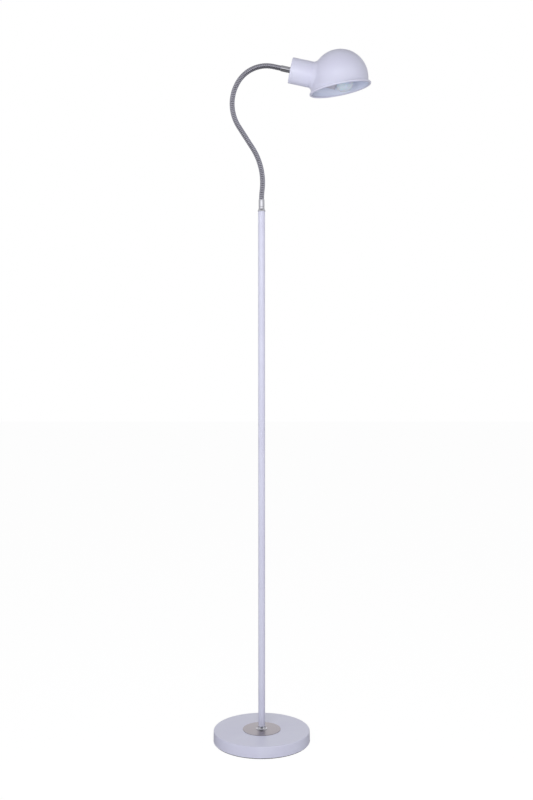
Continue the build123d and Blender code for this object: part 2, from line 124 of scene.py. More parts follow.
# Gooseneck: straight and curved runs from the pole's cap to the cup, each with its length and
# its turn in degrees, positive towards +X
NECK_RUNS = [(22.0, 0.0), (21.0, 7.0), (101.0, -40.0), (57.6, 0.0),
             (107.0, 64.5), (94.0, 70.5), (17.4, 0.0), (22.0, 0.0)]
NECK_START = POLE_TOP + CAP_H
NECK_L = sum(length for length, turn in NECK_RUNS)
FERRULE_L = 22.0
FERRULE_R = 7.0
FERRULE_NOSE_R = 6.9
GROOVE_LOW = 3.8            # the ferrule's groove
GROOVE_HIGH = 5.3
GROOVE_DEPTH = 0.5
GROOVE_SLOPE = 0.3
THREAD_R = 4.85
THREAD_BORE_R = 3.5
POLE_THREAD_L = 18.0
HEAD_THREAD_L = 36.0
HOSE_RIB_R = 6.0
HOSE_VALLEY_R = 5.2
HOSE_BORE_R = 3.8
HOSE_IN_FERRULE = 12.0
LINKS = 12
RIBS_PER_LINK = 8
LINK_L = (NECK_L - 2 * FERRULE_L) / LINKS
PITCH = LINK_L / RIBS_PER_LINK
HOSE_SIDES = 32
ROWS_PER_RIB = 10
BORE_ROWS = 9
BEND_HALF = 14.0            # each hinge's two ends are listed this far along the neck on either side of it
BACKWARD_HINGES = [5]       # hinges whose two ends are listed from the far side
NECK_SAMPLES = 1769         # points on the neck's line, four to a millimetre

# Cup and shade
CUP_R = 29.35
CUP_WALL = 0.8
CUP_EDGE = 2.5
CUP_L = 49.0
SEAM_BEVEL = 0.45           # where the cup meets the shade
RIM_ALONG = 121.3           # the rim's centre, along the cup's axis from its closed end
RIM_BELOW = 17.1            # and below that axis
RIM_TO_CUP_DEG = 22.6       # the rim's plane against that axis
SHADE_WALL = 0.8
BEAD_R = 2.5
BEAD_CIRCLE_R = 69.6
BEAD_SECTION = 20
DOME_R = 65.0
DOME_H = 23.3               # the dome's centre above the rim's
DOME_SHIFT = 3.8            # and along the rim's plane
SKIRT_R = 68.1
FLARE_L = 21.0              # length over which the dome's foot widens, down to the bead
SHADE_FILLET = 7.0
STUB_END = 80.0             # well inside the dome
SHADE_SIDES = 144
SHADE_ROWS = 84
ROW_CROWDING = 1.7          # rows lie closer together towards the stub
RAY_L = 110.0               # longer than any ray from the dome's centre to the shade
HALVINGS = 34
FIRST_POLAR_DEG = 12.0
LAST_POLAR_DEG = 179.9

# Lampholder and bulb, along the cup's axis
HOLDER_R = 21.0
HOLDER_WALL = 2.2
HOLDER_MOUTH = 110.0
HOLDER_CAP_END = 43.5
HOLDER_SHOULDER = 1.4
INSERT_TOP = 65.5
SHELL_R = 13.9
SHELL_L = 30.0
SHELL_FIT = 0.3
LIP_L = 3.0
MOUTH_EDGE = 1.4
BULB_R = 22.5
BULB_L = 78.0
BULB_TIP = 70.5             # the contact at the foot of the bulb's cap
BULB_CAP_HIGH = 96.5        # the cap's rim, where the glass comes out
GLASS_T = 0.9
GLASS_NECK_R = 12.6
GLASS_NECK_L = 2.5
GLASS_IN_CAP = 3.0
GLASS_MEET_DEG = 40.0       # where the round crown turns into the neck

# ---------------------------------------------------------------- meshes

MERGE_M = 1e-7              # points this close together, in metres, are one
DEGENERATE_M = 1e-8


def add_mesh(name, points, faces, sharp_deg=30.0, outward=True):
    """A mesh object from points in millimetres. Doubles are merged, and if the signed volume
    comes out negative the faces are turned round. Edges over sharp_deg stay sharp."""
    mesh = bpy.data.meshes.new(name)
    mesh.from_pydata((np.asarray(points) * MM).tolist(), [], np.asarray(faces).tolist())
    made = bmesh.new()
    made.from_mesh(mesh)
    bmesh.ops.remove_doubles(made, verts=made.verts, dist=MERGE_M)
    bmesh.ops.dissolve_degenerate(made, edges=made.edges, dist=DEGENERATE_M)
    if outward and made.calc_volume(signed=True) < 0:
        bmesh.ops.reverse_faces(made, faces=made.faces)
    made.to_mesh(mesh)
    made.free()
    mesh.shade_smooth()
    mesh.set_sharp_from_angle(angle=radians(sharp_deg))
    piece = bpy.data.objects.new(name, mesh)
    bpy.context.scene.collection.objects.link(piece)
    return piece


def points_of(piece):
    """A piece's points in millimetres."""
    co = np.zeros(len(piece.data.vertices) * 3)
    piece.data.vertices.foreach_get("co", co)
    return co.reshape(-1, 3) / MM


def mark(piece, name, value):
    """Writes a value from 0 to 1 at each point of a piece."""
    attribute = piece.data.attributes.new(name, "FLOAT", "POINT")
    attribute.data.foreach_set("value", np.clip(value, 0, 1).astype(np.float32))


def grid_faces(rows, columns, close_rows=False, close_columns=True):
    """Quads of a grid of points that is stored row by row."""
    i = np.arange(rows if close_rows else rows - 1)[:, None]
    j = np.arange(columns if close_columns else columns - 1)[None, :]
    below = (i + 1) % rows
    right = (j + 1) % columns
    return np.stack([i * columns + j, i * columns + right, below * columns + right,
                     below * columns + j], axis=-1).reshape(-1, 4)


def rounded(corners, step_deg=12.0):
    """Closed outline of (radius, height) points from corners (radius, height, rounding). Each
    rounded corner is an arc that leaves both sides at rounding / tan(half the corner's angle)."""
    outline = []
    count = len(corners)
    for k, (x, z, rounding) in enumerate(corners):
        here = np.array([x, z])
        if not rounding:
            outline.append(here)
            continue
        back = np.array(corners[k - 1][:2]) - here
        ahead = np.array(corners[(k + 1) % count][:2]) - here
        back = back / np.hypot(*back)
        ahead = ahead / np.hypot(*ahead)
        half = np.arccos(np.clip(back @ ahead, -1, 1)) / 2
        middle = here + (back + ahead) / np.hypot(*(back + ahead)) * rounding / np.sin(half)
        first = here + back * rounding / np.tan(half) - middle
        last = here + ahead * rounding / np.tan(half) - middle
        start = atan2(first[1], first[0])
        turn = (atan2(last[1], last[0]) - start + pi) % (2 * pi) - pi
        steps = max(2, int(abs(degrees(turn)) / step_deg) + 1)
        for a in start + turn * np.linspace(0, 1, steps + 1):
            outline.append(middle + rounding * np.array([cos(a), sin(a)]))
    return np.array(outline)


def arc(centre, radius, start_deg, end_deg, steps):
    """Points (radius, height) along an arc, both ends included."""
    a = np.radians(np.linspace(start_deg, end_deg, steps + 1))
    return np.stack([centre[0] + radius * np.cos(a), centre[1] + radius * np.sin(a)], axis=1)


UPRIGHT = (np.zeros(3), np.array([1.0, 0, 0]), np.array([0, 1.0, 0]), np.array([0, 0, 1.0]))


def turned(name, outline, place=UPRIGHT, sides=96, sharp_deg=30.0):
    """Solid of revolution of a closed outline of (radius, height) points: each point goes to
    origin + radius (cos a X + sin a Y) + height Z, in the frame of place."""
    origin, x_axis, y_axis, z_axis = place
    a = np.arange(sides) * 2 * pi / sides
    r = outline[:, 0][:, None, None]
    h = outline[:, 1][:, None, None]
    around = np.cos(a)[None, :, None] * x_axis + np.sin(a)[None, :, None] * y_axis
    points = (origin + r * around + h * z_axis).reshape(-1, 3)
    return add_mesh(name, points, grid_faces(len(outline), sides, close_rows=True), sharp_deg)


# ---------------------------------------------------------------- the neck's path


def neck_path(s):
    """Places (x, z) and headings in radians at an array of distances along the neck: each run
    adds its chord, which for an arc is length * sin(half its turn) / half its turn."""
    s = np.asarray(s, float)
    x = np.zeros_like(s)
    z = np.full_like(s, NECK_START)
    heading = np.full_like(s, pi / 2)
    gone = 0.0
    for length, turn in NECK_RUNS:
        part = np.clip(s - gone, 0, length)
        half = np.radians(turn) * part / length / 2
        chord = part * np.sinc(half / pi)
        x += chord * np.cos(heading - half)
        z += chord * np.sin(heading - half)
        heading -= 2 * half
        gone += length
    return x, z, heading


def neck_place(s, backwards=False):
    """Frame square to the neck at distance s, its Z axis along the neck or back along it."""
    x, z, heading = (float(v) for v in neck_path(s))
    ahead = np.array([cos(heading), 0, sin(heading)]) * (-1 if backwards else 1)
    side = np.array([0, 1.0, 0])
    return np.array([x, 0, z]), side, np.cross(ahead, side), ahead


CUP_PLACE = neck_place(NECK_L)
ALONG = CUP_PLACE[3]
LIFT = np.array([-ALONG[2], 0, ALONG[0]])
SIDE = np.array([0, 1.0, 0])
RIM_CENTRE = CUP_PLACE[0] + ALONG * RIM_ALONG - LIFT * RIM_BELOW
RIM_TILT = atan2(ALONG[2], ALONG[0]) + radians(RIM_TO_CUP_DEG)
RIM_X = np.array([cos(RIM_TILT), 0, sin(RIM_TILT)])
RIM_UP = np.array([-sin(RIM_TILT), 0, cos(RIM_TILT)])
DOME_CENTRE = RIM_CENTRE + RIM_X * DOME_SHIFT + RIM_UP * DOME_H
LEAN = (RIM_X * DOME_SHIFT + RIM_UP * DOME_H) / hypot(DOME_SHIFT, DOME_H)

# ---------------------------------------------------------------- materials


def colour(text):
    """Linear RGBA of an sRGB hex colour."""
    s = np.array([int(text[k:k + 2], 16) for k in (1, 3, 5)]) / 255
    linear = np.where(s <= 0.04045, s / 12.92, ((s + 0.055) / 1.055) ** 2.4)
    return (*linear.tolist(), 1.0)


def add(tree, kind, inputs=(), **settings):
    """Adds a node. inputs gives its sockets by name or number, each a value or another node's
    output, and settings its own properties."""
    node = tree.nodes.new(kind)
    for key, value in settings.items():
        setattr(node, key, value)
    for key, value in dict(inputs).items():
        if isinstance(value, bpy.types.NodeSocket):
            tree.links.new(value, node.inputs[key])
        else:
            node.inputs[key].default_value = value
    return node


def new_material(name, **sockets):
    """A material with a Principled shader whose sockets have these values."""
    material = bpy.data.materials.new(name)
    material.use_nodes = True
    shader = material.node_tree.nodes["Principled BSDF"]
    for key, value in sockets.items():
        shader.inputs[key.replace("_", " ")].default_value = value
    return material, material.node_tree, shader


def grain(tree, size_mm, detail=2.0, stretch=(1.0, 1.0, 1.0)):
    """Noise whose cells are about size_mm across on the object, stretched by factors."""
    place = add(tree, "ShaderNodeTexCoord").outputs["Object"]
    scaled = add(tree, "ShaderNodeMapping",
                 {"Vector": place, "Scale": tuple(1 / k for k in stretch)})
    return add(tree, "ShaderNodeTexNoise",
               {"Vector": scaled.outputs[0], "Scale": 1 / (size_mm * MM),
                "Detail": detail, "Roughness": 0.5}).outputs[0]


NOISE_SPAN = (0.3, 0.7)     # nearly all of a noise's values lie between these


def between(tree, amount, low, high, span=NOISE_SPAN):
    """A colour between two hex colours, as a value goes from one end of the span to the other."""
    ramp = add(tree, "ShaderNodeValToRGB", {"Fac": amount})
    for stop, position, text in zip(ramp.color_ramp.elements, span, (low, high)):
        stop.position = position
        stop.color = colour(text)
    return ramp.outputs[0]


def tint(tree, shader, amount, low, high, span=NOISE_SPAN):
    """Colours the shader between two hex colours."""
    tree.links.new(between(tree, amount, low, high, span), shader.inputs["Base Color"])


def vary(tree, shader, amount, low, high):
    """Varies the shader's roughness between low and high."""
    spread = add(tree, "ShaderNodeMapRange",
                 {"Value": amount, "From Min": NOISE_SPAN[0], "From Max": NOISE_SPAN[1],
                  "To Min": low, "To Max": high})
    tree.links.new(spread.outputs[0], shader.inputs["Roughness"])


def emboss(tree, shader, height, depth_mm, strength=1.0):
    """Bump of a given depth from a value from 0 to 1."""
    bump = add(tree, "ShaderNodeBump",
               {"Height": height, "Distance": depth_mm * MM, "Strength": strength})
    tree.links.new(bump.outputs[0], shader.inputs["Normal"])


def ring_grain(tree, width_mm):
    """Noise that depends only on the distance from the pole's axis, for a brushed disc."""
    place = add(tree, "ShaderNodeTexCoord").outputs["Object"]
    flat = add(tree, "ShaderNodeVectorMath", {0: place, 1: (1.0, 1.0, 0.0)}, operation="MULTIPLY")
    radius = add(tree, "ShaderNodeVectorMath", {0: flat.outputs[0]}, operation="LENGTH")
    return add(tree, "ShaderNodeTexNoise",
               {"W": radius.outputs["Value"], "Scale": 1 / (width_mm * MM), "Detail": 3.0},
               noise_dimensions="1D").outputs[0]


def powder_coat():
    """White powder coat with a cool cast, sprayed and baked: satin, with a faint orange peel about
    2.5 mm across and hardly any change of tone. Inside the shade, which the attribute marks, the
    coat is painted a lighter and cooler white, as painted light that brightens the shade's hollow."""
    material, tree, shader = new_material("white_powder_coat", Roughness=0.34, IOR=1.5)
    tone = grain(tree, 70.0)
    outer = between(tree, tone, "#d1d1e6", "#d5d6e9")
    # Painted light: the inside of the shade is lighter and cooler than the outside.
    inner = between(tree, tone, "#e4eafe", "#e8eeff")
    side = add(tree, "ShaderNodeAttribute", attribute_name="inside").outputs["Fac"]
    both = add(tree, "ShaderNodeMix", {0: side, 6: outer, 7: inner}, data_type="RGBA")
    tree.links.new(both.outputs[2], shader.inputs["Base Color"])
    vary(tree, shader, grain(tree, 9.0), 0.31, 0.38)
    emboss(tree, shader, grain(tree, 2.5), 0.02, 0.5)
    return material


def chrome_plate():
    """Bright chrome plate over turned steel: a mirror, hardly dulled by handling."""
    material, tree, shader = new_material("bright_chrome_plate", Metallic=1.0, Roughness=0.09)
    tint(tree, shader, grain(tree, 20.0), "#c9c9d1", "#d3d3da")
    vary(tree, shader, grain(tree, 6.0), 0.07, 0.13)
    return material


def hose_plate():
    """Chrome plated steel wire, wound: each turn is bright on its crest, and darker and duller down
    in the groove. The darkening there is painted shade; the dullness is where the plating is thin.
    The crest is an attribute."""
    material, tree, shader = new_material("wound_chromed_wire", Metallic=1.0, Roughness=0.2)
    crest = add(tree, "ShaderNodeAttribute", attribute_name="crest").outputs["Fac"]
    polish = add(tree, "ShaderNodeMath", {0: crest, 1: grain(tree, 3.0)}, operation="MULTIPLY")
    # Painted shade: the wire's colour darkens from the crest down into the groove.
    tint(tree, shader, crest, "#4e4d57", "#bdbcc9", (0.15, 0.85))
    vary(tree, shader, polish.outputs[0], 0.34, 0.16)
    return material


def brushed_nickel():
    """Nickel plated disc, brushed while it turned: fine rings about 1 mm apart, satin."""
    material, tree, shader = new_material("brushed_nickel", Metallic=1.0, Roughness=0.4)
    lines = ring_grain(tree, 1.1)
    tint(tree, shader, lines, "#9f999f", "#b4aeb4")
    vary(tree, shader, lines, 0.30, 0.42)
    emboss(tree, shader, lines, 0.02, 0.6)
    return material


def zinc_plate():
    """Bright zinc on steel hardware: pale grey, with blotches where the crystals differ."""
    material, tree, shader = new_material("zinc_plated_steel", Metallic=1.0, Roughness=0.38)
    tint(tree, shader, grain(tree, 5.0, 3.0), "#8f9194", "#b2b4b6")
    vary(tree, shader, grain(tree, 2.0), 0.3, 0.48)
    return material


def raw_casting():
    """Grey iron as it leaves the sand: dark, dull and grainy."""
    material, tree, shader = new_material("sand_cast_iron", Metallic=0.6, Roughness=0.8)
    tint(tree, shader, grain(tree, 6.0, 4.0), "#262629", "#3a3a3d")
    emboss(tree, shader, grain(tree, 1.6, 4.0), 0.4)
    return material


def pressed_felt():
    """Black pressed felt: matt, with matted fibres."""
    material, tree, shader = new_material("pressed_felt", Roughness=0.95, Sheen_Weight=0.4,
                                          Sheen_Roughness=0.6)
    fibres = (3.0, 1.0, 1.0)
    tint(tree, shader, grain(tree, 1.4, 6.0, fibres), "#141416", "#2a2a2e")
    emboss(tree, shader, grain(tree, 1.0, 6.0, fibres), 0.3)
    return material


def pale_rubber(name, low, high):
    """Moulded soft PVC or rubber: dull, slightly mottled."""
    material, tree, shader = new_material(name, Roughness=0.62)
    tint(tree, shader, grain(tree, 4.0), low, high)
    emboss(tree, shader, grain(tree, 1.2), 0.03, 0.5)
    return material


def plain_brass():
    """Stamped brass contacts: warm, lightly tarnished in blotches."""
    material, tree, shader = new_material("stamped_brass", Metallic=1.0, Roughness=0.32)
    tint(tree, shader, grain(tree, 3.0, 3.0), "#a8823c", "#d3b066")
    vary(tree, shader, grain(tree, 2.0), 0.24, 0.45)
    return material


def moulded_polyester():
    """Pale grey moulded polyester of the lampholder: a dull gloss with faint flow marks."""
    material, tree, shader = new_material("moulded_polyester", Roughness=0.42)
    tint(tree, shader, grain(tree, 8.0, 3.0, (1.0, 1.0, 4.0)), "#bab8c9", "#c3c1d2")
    emboss(tree, shader, grain(tree, 1.5), 0.02, 0.5)
    return material


def porcelain():
    """Unglazed steatite: off-white, matt, faintly speckled."""
    material, tree, shader = new_material("unglazed_steatite", Roughness=0.7)
    tint(tree, shader, grain(tree, 1.2, 4.0), "#d2cdbf", "#e0dccf")
    return material


def spun_aluminium():
    """Rolled aluminium screw cap of the bulb: bright, finely scratched."""
    material, tree, shader = new_material("rolled_aluminium", Metallic=1.0, Roughness=0.3)
    tint(tree, shader, grain(tree, 3.0), "#b4b5b8", "#cbccce")
    vary(tree, shader, grain(tree, 1.5), 0.22, 0.4)
    return material


def black_glass():
    """Black vitrite in the foot of the bulb's cap: a poured gloss."""
    material, tree, shader = new_material("black_vitrite", Roughness=0.12)
    tint(tree, shader, grain(tree, 4.0), "#0b0b0d", "#17171a")
    return material


def frosted_glass():
    """Frosted white glass of the bulb: it scatters what light comes in, so it looks like pale
    milk with a soft gloss."""
    material, tree, shader = new_material("frosted_glass", Roughness=0.28, IOR=1.5,
                                          Transmission_Weight=0.1, Subsurface_Weight=0.3,
                                          Subsurface_Scale=0.004)
    tint(tree, shader, grain(tree, 12.0), "#e2e6f5", "#e8ecfa")
    return material


SLOTS = {
    "white_paint": powder_coat(),
    "cast_iron": raw_casting(),
    "zinc_steel": zinc_plate(),
    "felt": pressed_felt(),
    "brushed_nickel": brushed_nickel(),
    "chrome": chrome_plate(),
    "hose_steel": hose_plate(),
    "rubber": pale_rubber("moulded_rubber", "#bfc0ca", "#cccdd6"),
    "brass": plain_brass(),
    "holder_plastic": moulded_polyester(),
    "porcelain": porcelain(),
    "lead_sheath": pale_rubber("soft_pvc_sheath", "#d2d2d6", "#dedee1"),
    "bulb_metal": spun_aluminium(),
    "bulb_insulator": black_glass(),
    "frosted_glass": frosted_glass(),
}


def finish_with(piece, slot):
    """Gives a piece or a CAD node the material of its slot."""
    piece.data.materials.clear()
    piece.data.materials.append(SLOTS[slot])


record = frame["record"]
NODE_SLOT = {row["node"]: row["material_slot"] for row in record["subparts"]}
BODY_OF = {node: body for body, nodes in record["behaviour"]["bodies"].items() for node in nodes}

for node, solid in frame["nodes"].items():
    finish_with(solid, NODE_SLOT[node])


def stand_for(piece, *nodes):
    """The piece rides on its nodes' body, hides them and takes their slot."""
    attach(piece, BODY_OF[nodes[0]])
    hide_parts(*nodes)
    finish_with(piece, NODE_SLOT[nodes[0]])


# ---------------------------------------------------------------- base


def make_base():
    """The pressed cover, open below, and the brushed trim disc on it."""
    top_r = BASE_R - BASE_DRAFT
    roof = BASE_TOP - COVER_WALL
    inner = BASE_EDGE - COVER_WALL
    cover = rounded([(HOLE_R, BASE_TOP, 0), (top_r, BASE_TOP, BASE_EDGE),
                     (BASE_R, PAD_T, CUT_EDGE), (BASE_R - COVER_WALL, PAD_T, CUT_EDGE),
                     (top_r - COVER_WALL, roof, inner), (HOLE_R, roof, 0)], 9.0)
    stand_for(turned("cover", cover, sides=192), "base_cover")
    trim = rounded([(HOLE_R, TRIM_TOP, 0), (TRIM_R, TRIM_TOP, CUT_EDGE), (TRIM_R, BASE_TOP, 0),
                    (HOLE_R, BASE_TOP, 0)])
    stand_for(turned("trim_disc", trim, sides=144), "trim_plate")


def make_collar():
    """Collar: a small foot, a hollow curve up to a narrow lip, both edges rounded."""
    inner = POLE_R + FIT
    lip = POLE_R + COLLAR_LIP
    foot_top = TRIM_TOP + COLLAR_FOOT
    top = TRIM_TOP + COLLAR_H
    low = np.array([COLLAR_R - COLLAR_STEP, foot_top])
    pull = np.array([lip + 0.3, foot_top + COLLAR_STEP])
    high = np.array([lip, top - COLLAR_LIP_H])
    t = np.linspace(0, 1, 13)[:, None]
    curve = (1 - t) ** 2 * low + 2 * t * (1 - t) * pull + t ** 2 * high
    foot = [[COLLAR_R, TRIM_TOP], [COLLAR_R, foot_top - 0.5]]
    lip_edge = [[lip - 0.05, top - 0.5], [lip - 0.3, top], [inner, top], [inner, TRIM_TOP]]
    outline = np.vstack([foot, curve, lip_edge])
    stand_for(turned("collar", outline, sides=72, sharp_deg=40.0), "pole_collar")


def make_grommet():
    """Grommet about an axis along +Y, with rounded lips."""
    place = (np.array([0, 0, INLET_Z]), np.array([0, 0, 1.0]), np.array([1.0, 0, 0]),
             np.array([0, 1.0, 0]))
    inner_face = BASE_R - COVER_WALL - GROMMET_GAP
    back = inner_face - GROMMET_FLANGE_T
    nose = BASE_R + GROMMET_NOSE_L
    groove = INLET_HOLE_R - FIT
    outline = rounded([(GROMMET_BORE_R, back, 0.3), (GROMMET_FLANGE_R, back, 0.3),
                       (GROMMET_FLANGE_R, inner_face, 0.2), (groove, inner_face, 0),
                       (groove, BASE_R, 0), (GROMMET_FLANGE_R, BASE_R, 0.2),
                       (GROMMET_FLANGE_R - 0.6, BASE_R + GROMMET_FLANGE_T, 0.5),
                       (GROMMET_BORE_R + 0.9, nose, 0.3), (GROMMET_BORE_R, nose, 0.2)], 20.0)
    stand_for(turned("grommet", outline, place, sides=48), "cord_grommet")


# ---------------------------------------------------------------- pole


def make_pole():
    """Four tubes with a small bevel at each end, so that each seam shows as a hairline, and the
    cone on top of them."""
    lows = [TRIM_TOP] + SEAM_Z
    highs = SEAM_Z + [POLE_TOP]
    inside = POLE_R - POLE_WALL
    for name, low, high in zip(["lower", "lower_middle", "upper_middle", "upper"], lows, highs):
        outline = rounded([(inside, low, 0), (POLE_R, low, SEAM_CHAMFER),
                           (POLE_R, high, SEAM_CHAMFER), (inside, high, 0)], 30.0)
        stand_for(turned(f"tube_{name}", outline, sides=72), f"pole_{name}")
    cap = rounded([(HOLE_R, POLE_TOP, 0), (CAP_R, POLE_TOP, 0.3),
                   (CAP_R, POLE_TOP + CAP_RIM_H, 0.5), (FERRULE_R + 0.2, NECK_START, 0.3),
                   (HOLE_R, NECK_START, 0)], 15.0)
    stand_for(turned("cone_cap", cap, sides=72), "pole_cap")


# ---------------------------------------------------------------- gooseneck


def ferrule_outline(thread):
    """Ferrule: thread, foot, a narrow groove and a slim body that rounds in at the nose."""
    groove = FERRULE_R - GROOVE_DEPTH
    socket_r = HOSE_RIB_R + FIT
    socket = FERRULE_L - HOSE_IN_FERRULE
    return rounded([(THREAD_BORE_R, -thread, 0), (THREAD_R, -thread, 0.4), (THREAD_R, 0, 0),
                    (FERRULE_R, 0, 0.3), (FERRULE_R, GROOVE_LOW, 0.3),
                    (groove, GROOVE_LOW + GROOVE_SLOPE, 0), (groove, GROOVE_HIGH - GROOVE_SLOPE, 0),
                    (FERRULE_R, GROOVE_HIGH, 0.3), (FERRULE_NOSE_R, FERRULE_L, 0.7),
                    (socket_r, FERRULE_L, 0), (socket_r, socket, 0),
                    (THREAD_BORE_R, socket, 0)], 15.0)


def make_ferrules():
    """The two chrome ends of the hose, each with its nose towards the hose."""
    for name, thread, place in [("lower", POLE_THREAD_L, neck_place(0.0)),
                                ("upper", HEAD_THREAD_L, neck_place(NECK_L, backwards=True))]:
        ferrule = turned(f"ferrule_{name}", ferrule_outline(thread), place, sides=64)
        stand_for(ferrule, f"neck_ferrule_{name}")


def wound_tube(name, low, high):
    """Length of wound hose between two distances along the neck. The outside is at radius
    valley + (rib - valley) * sqrt(1 - (2 f - 1)^2), where f is the fraction of
    s / pitch - angle / 360, which makes half-round turns of one long helix."""
    s = np.linspace(low, high, int(round((high - low) / PITCH * ROWS_PER_RIB)) + 1)
    a = np.arange(HOSE_SIDES) * 2 * pi / HOSE_SIDES
    f = np.mod(s[:, None] / PITCH - a[None, :] / (2 * pi), 1.0)
    crest = np.sqrt(np.clip(1 - (2 * f - 1) ** 2, 0, 1))
    outer = HOSE_VALLEY_R + (HOSE_RIB_R - HOSE_VALLEY_R) * crest
    stations = np.concatenate([s, np.linspace(high, low, BORE_ROWS)])
    radius = np.vstack([outer, np.full((BORE_ROWS, HOSE_SIDES), HOSE_BORE_R)])
    x, z, heading = neck_path(stations)
    across = np.stack([np.sin(heading), np.zeros_like(heading), -np.cos(heading)], axis=1)
    spokes = np.cos(a)[None, :, None] * across[:, None, :] + np.sin(a)[None, :, None] * SIDE
    centre = np.stack([x, np.zeros_like(x), z], axis=1)[:, None, :]
    points = (centre + radius[:, :, None] * spokes).reshape(-1, 3)
    faces = grid_faces(len(stations), HOSE_SIDES, close_rows=True)
    piece = add_mesh(name, points, faces, sharp_deg=75.0)
    mark_crests(piece)
    return piece


def mark_crests(piece):
    """Writes 0 at the bottom of a groove to 1 at the top of a turn, from each point's distance
    to the neck's line."""
    co = points_of(piece)
    x, z, _ = neck_path(np.linspace(0, NECK_L, NECK_SAMPLES))
    off = np.hypot(co[:, 0][:, None] - x, co[:, 2][:, None] - z)
    radius = np.hypot(off.min(axis=1), co[:, 1])
    mark(piece, "crest", (radius - HOSE_VALLEY_R) / (HOSE_RIB_R - HOSE_VALLEY_R))


def make_hose():
    """Thirteen lengths that meet halfway between the hinges: each of the eleven in the middle has
    one hinge in its middle, and the two at the ends are held in the ferrules and ride on their
    nodes' bodies."""
    hinges = [FERRULE_L + LINK_L * k for k in range(1, LINKS)]
    halves = [FERRULE_L + LINK_L * (k + 0.5) for k in range(LINKS)]
    nodes = [f"neck_hose_{k + 1:02d}" for k in range(LINKS)]
    cuts = [FERRULE_L - HOSE_IN_FERRULE] + halves + [NECK_L - FERRULE_L + HOSE_IN_FERRULE]
    for k in range(LINKS + 1):
        piece = wound_tube(f"wound_hose_{k:02d}", cuts[k], cuts[k + 1])
        node = nodes[min(k, LINKS - 1)]
        finish_with(piece, "hose_steel")
        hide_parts(node)
        if k in (0, LINKS):
            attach(piece, BODY_OF[node])
            continue
        x, z, _ = neck_path([hinges[k - 1] - BEND_HALF, hinges[k - 1] + BEND_HALF])
        ends = [(BODY_OF[nodes[k - 1 + j]], (x[j] * MM, 0, z[j] * MM)) for j in (0, 1)]
        if k in BACKWARD_HINGES:
            ends.reverse()
        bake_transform(piece)


# ---------------------------------------------------------------- lamp head


def make_cup():
    """Drawn cup with a rounded end, and a fine bevel where it meets the shade."""
    inner = CUP_R - CUP_WALL
    outline = rounded([(HOLE_R, 0, 0), (CUP_R, 0, CUP_EDGE), (CUP_R, CUP_L, SEAM_BEVEL),
                       (inner, CUP_L, 0), (inner, CUP_WALL, CUP_EDGE - CUP_WALL),
                       (HOLE_R, CUP_WALL, 0)], 9.0)
    stand_for(turned("cup", outline, CUP_PLACE, sides=128), "shade_cup")


def shade_profile(height):
    """Radius of the shade's body at a height below the dome's equator: a hollow arc, upright at
    the dome, widens it from the dome's radius to the skirt's over FLARE_L."""
    step = SKIRT_R - DOME_R
    flare_r = (FLARE_L ** 2 + step ** 2) / (2 * step)
    return DOME_R + flare_r - np.sqrt(flare_r ** 2 - np.clip(-height, 0, FLARE_L) ** 2)


def shade_distance(points):
    """About how far points lie outside the shade: the dome, flare and skirt about the leaning
    axis, and the stub about the cup's axis, joined by a round of SHADE_FILLET:
    max(R, min(a, b)) - hypot(max(R - a, 0), max(R - b, 0))."""
    off = points - DOME_CENTRE
    height = off @ LEAN
    radial = np.sqrt(np.maximum((off ** 2).sum(-1) - height ** 2, 0))
    body = np.where(height > 0, np.hypot(radial, height) - DOME_R, radial - shade_profile(height))
    from_cup = points - CUP_PLACE[0]
    stub = np.maximum(np.hypot(from_cup @ LIFT, from_cup @ SIDE) - CUP_R,
                      from_cup @ ALONG - STUB_END)
    near_body = np.maximum(SHADE_FILLET - body, 0)
    near_stub = np.maximum(SHADE_FILLET - stub, 0)
    return np.maximum(SHADE_FILLET, np.minimum(body, stub)) - np.hypot(near_body, near_stub)


def shade_point(polar, around, inset):
    """Where a ray from the dome's centre leaves the shade's outside, or its inside at inset.
    polar is the angle from the direction back to the cup, around the angle about it."""
    ray = (-np.cos(polar)[..., None] * ALONG + (np.sin(polar) * np.cos(around))[..., None] * LIFT
           + (np.sin(polar) * np.sin(around))[..., None] * SIDE)
    near = np.zeros(polar.shape)
    far = np.full(polar.shape, RAY_L)
    for _ in range(HALVINGS):
        middle = (near + far) / 2
        inside = shade_distance(DOME_CENTRE + middle[..., None] * ray) < -inset
        near = np.where(inside, middle, near)
        far = np.where(inside, far, middle)
    return DOME_CENTRE + near[..., None] * ray


def edge_polar(around, inset, beyond):
    """The polar angle at which the surface passes a limit, by halving: beyond(points) is true
    past it."""
    near = np.full(around.shape, radians(FIRST_POLAR_DEG))
    far = np.full(around.shape, radians(LAST_POLAR_DEG))
    for _ in range(HALVINGS):
        middle = (near + far) / 2
        past = beyond(shade_point(middle, around, inset))
        far = np.where(past, middle, far)
        near = np.where(past, near, middle)
    return near


def shade_sheet(inset, stub_end):
    """One side of the shade's sheet as a grid from the stub's end to the rim, with rows crowded
    towards the stub and its round: polar = end + (rim - end) * u ^ ROW_CROWDING."""
    around = np.arange(SHADE_SIDES) * 2 * pi / SHADE_SIDES
    first = edge_polar(around, inset, lambda p: (p - CUP_PLACE[0]) @ ALONG > stub_end)
    last = edge_polar(around, inset, lambda p: (p - RIM_CENTRE) @ RIM_UP < 0)
    u = np.linspace(0, 1, SHADE_ROWS)[:, None] ** ROW_CROWDING
    polar = first + (last - first) * u
    return shade_point(polar, np.broadcast_to(around, polar.shape), inset)


